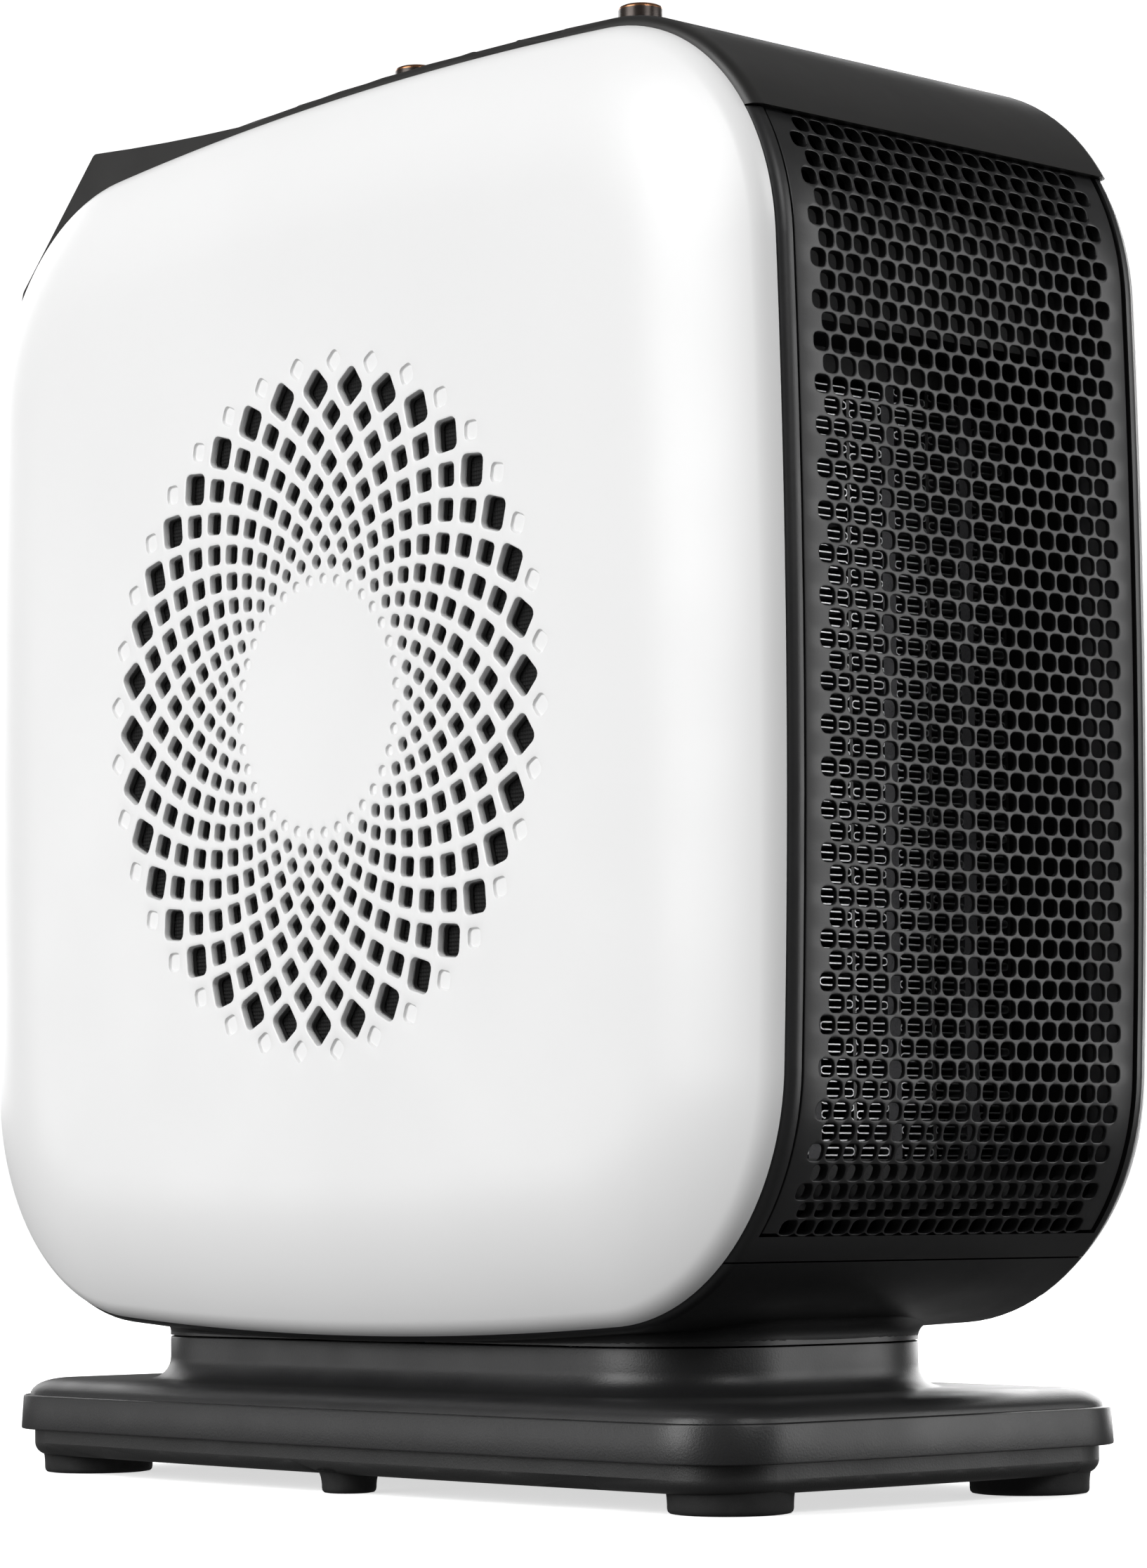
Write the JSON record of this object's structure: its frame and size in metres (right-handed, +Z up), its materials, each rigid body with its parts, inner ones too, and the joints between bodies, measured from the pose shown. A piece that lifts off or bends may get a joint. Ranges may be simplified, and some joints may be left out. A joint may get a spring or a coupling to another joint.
{
  "type": "ceramic space heater",
  "caption": "Free-standing ceramic fan heater: square-round head with vented white side panels and a dark front grille, swinging on an oblong foot, two slim knobs on top.",
  "frame": {"origin": "centre of the footprint, on the floor under the feet", "axes": "+Z up, -Y out of the air outlet grille, X across the side panels"},
  "size_m": [0.122, 0.263, 0.3117],
  "materials": {
    "shell_black": "satin, fine moulded grain",
    "top_black": "smooth satin",
    "pan_black": "matt",
    "panel_white": "smooth semi-gloss",
    "rubber": "matt",
    "screw_steel": "zinc plated",
    "filter_mesh": "fine woven mesh",
    "gear_nylon": "natural nylon",
    "steel": "ground",
    "motor_can": "drawn steel can",
    "bronze": "sintered bronze",
    "zinc_sheet": "galvanised sheet",
    "housing_black": "moulded",
    "rotor_plastic": "moulded",
    "ceramic": "dark sintered ceramic",
    "fin_aluminium": "rolled strip",
    "cap_insulator": "high-temperature moulding",
    "component_body": "moulded",
    "circuit_green": "solder resist",
    "knob_bronze": "dark bronze lacquer"
  },
  "bodies": {
    "base": {"base_top": "shell_black", "base_bottom": "pan_black", "rubber_feet": "rubber", "base_screws": "screw_steel", "cord_gland": "rubber", "thrust_washer": "gear_nylon", "swing_motor": "motor_can"},
    "head": {"swing_gear": "gear_nylon", "swivel_post": "steel", "front_frame": "shell_black", "rear_cover": "shell_black", "bottom_shell": "shell_black", "top_cover": "top_black", "front_grille": "shell_black", "rear_screws": "screw_steel", "left_side_panel": "panel_white", "right_side_panel": "panel_white", "left_intake_filter": "filter_mesh", "right_intake_filter": "filter_mesh", "left_bulkhead": "zinc_sheet", "right_bulkhead": "zinc_sheet", "left_scroll_half": "housing_black", "right_scroll_half": "housing_black", "motor_body": "motor_can", "motor_bearings": "bronze", "motor_spider": "zinc_sheet", "heater_duct": "housing_black", "ceramic_bars": "ceramic", "contact_plates": "zinc_sheet", "heater_fins": "fin_aluminium", "heater_cap_low": "cap_insulator", "heater_cap_high": "cap_insulator", "lower_baffle": "housing_black", "upper_baffle": "housing_black", "thermal_cutoff": "component_body", "board_tray": "housing_black", "control_board": "circuit_green", "board_components": "component_body", "thermostat_switch": "component_body", "mode_switch": "component_body"},
    "blower": {"blower_rotor": "rotor_plastic", "motor_shaft": "steel"},
    "thermostat_knob": {"thermostat_knob": "knob_bronze"},
    "mode_knob": {"mode_knob": "knob_bronze"},
    "drive_pinion": {"drive_pinion": "gear_nylon", "drive_shaft": "steel"}
  },
  "joints": [
    {"name": "head_swing", "type": "hinge", "parent": "base", "child": "head", "pos_m": [0, 0, 0.03], "axis": [0, 0, 1], "range_deg": [-30, 30]},
    {"name": "blower_spin", "type": "hinge", "parent": "head", "child": "blower", "pos_m": [0, 0.02, 0.161], "axis": [1, 0, 0], "continuous": true},
    {"name": "thermostat_turn", "type": "hinge", "parent": "head", "child": "thermostat_knob", "pos_m": [0, -0.0367, 0.3], "axis": [0, 0, 1], "range_deg": [-270, 0]},
    {"name": "mode_turn", "type": "hinge", "parent": "head", "child": "mode_knob", "pos_m": [0, 0.0384, 0.3], "axis": [0, 0, 1], "range_deg": [-180, 0]},
    {"name": "pinion_spin", "type": "hinge", "parent": "base", "child": "drive_pinion", "pos_m": [0, 0.03875, 0.02], "axis": [0, 0, 1], "range_deg": [-110, 110]}
  ],
  "couplings": [
    {"joint": "pinion_spin", "follows": "head_swing", "ratio": -3.4286}
  ]
}
